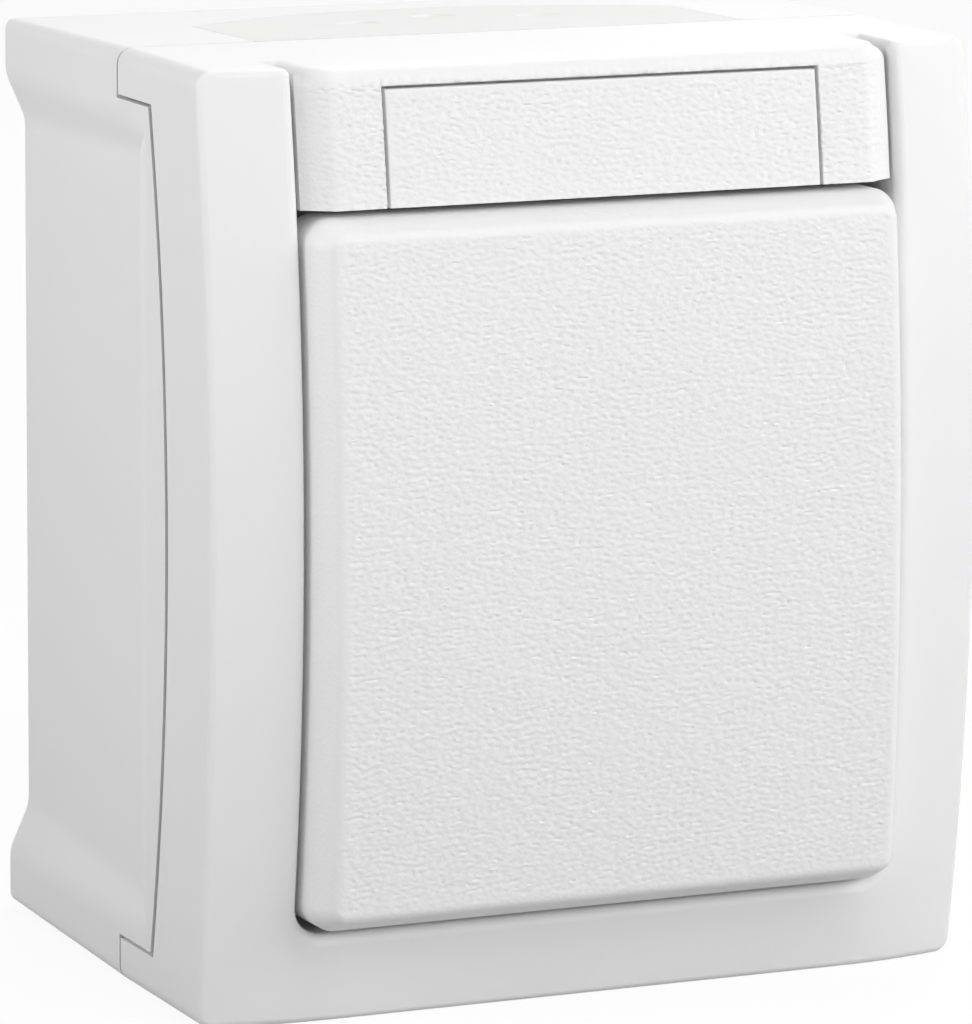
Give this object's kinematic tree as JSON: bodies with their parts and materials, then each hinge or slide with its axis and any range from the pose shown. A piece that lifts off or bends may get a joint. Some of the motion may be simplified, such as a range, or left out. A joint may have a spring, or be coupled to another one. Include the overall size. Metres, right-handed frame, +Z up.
{
  "type": "surface-mounted light switch",
  "caption": "Surface-mounted splash-proof light switch: a deep box with a soft cable entry in its top, a bowed cover frame, a label hood and one large grained rocker.",
  "frame": {"origin": "centre of the box's back face, on the wall", "axes": "+X to the user's right, +Y into the wall, +Z up; the rocker faces -Y"},
  "size_m": [0.066, 0.0518, 0.075],
  "materials": {
    "white_moulding": "fine matt",
    "grained_moulding": "grained matt",
    "entry_rubber": "soft matt",
    "seal_rubber": "matt",
    "carrier_nylon": "satin",
    "plunger_acetal": "waxy satin",
    "base_thermoset": "matt",
    "spring_steel": "drawn wire",
    "screw_steel": "zinc plated",
    "contact_brass": "stamped",
    "contact_silver": "satin"
  },
  "bodies": {
    "housing": {"back_box": "white_moulding", "cover_frame": "white_moulding", "label_hood": "grained_moulding", "label_insert": "grained_moulding", "entry_membrane": "entry_rubber", "box_seal": "seal_rubber", "base_gasket": "seal_rubber", "cover_screw_washers": "seal_rubber", "switch_base": "base_thermoset", "base_screws": "screw_steel", "cover_screws": "screw_steel", "terminal_screws": "screw_steel", "common_terminal": "contact_brass", "upper_contact": "contact_brass", "lower_contact": "contact_brass", "terminal_pillars": "contact_brass", "fixed_contact_tips": "contact_silver"},
    "rocker_body": {"rocker": "grained_moulding", "rocker_carrier": "carrier_nylon", "plunger_spring": "spring_steel"},
    "plunger_body": {"plunger": "plunger_acetal"},
    "bridge_body": {"contact_bridge": "contact_brass", "moving_contact_tips": "contact_silver"}
  },
  "joints": [
    {"name": "rocker_pivot", "type": "hinge", "parent": "housing", "child": "rocker_body", "pos_m": [0, -0.0435, -0.0018], "axis": [1, 0, 0], "range_deg": [0, 5]},
    {"name": "plunger_slide", "type": "slide", "parent": "rocker_body", "child": "plunger_body", "axis": [0, -0.999, 0.0436], "range_m": [0, 0.001], "stiffness_N_per_m": 400, "springref_m": -0.002, "deforming": ["plunger_spring"]},
    {"name": "bridge_pivot", "type": "hinge", "parent": "housing", "child": "bridge_body", "pos_m": [0, -0.0209, -0.0018], "axis": [1, 0, 0], "range_deg": [-13, 0]}
  ],
  "couplings": [
    {"joint": "bridge_pivot", "follows": "rocker_pivot", "ratio": -2.6}
  ]
}
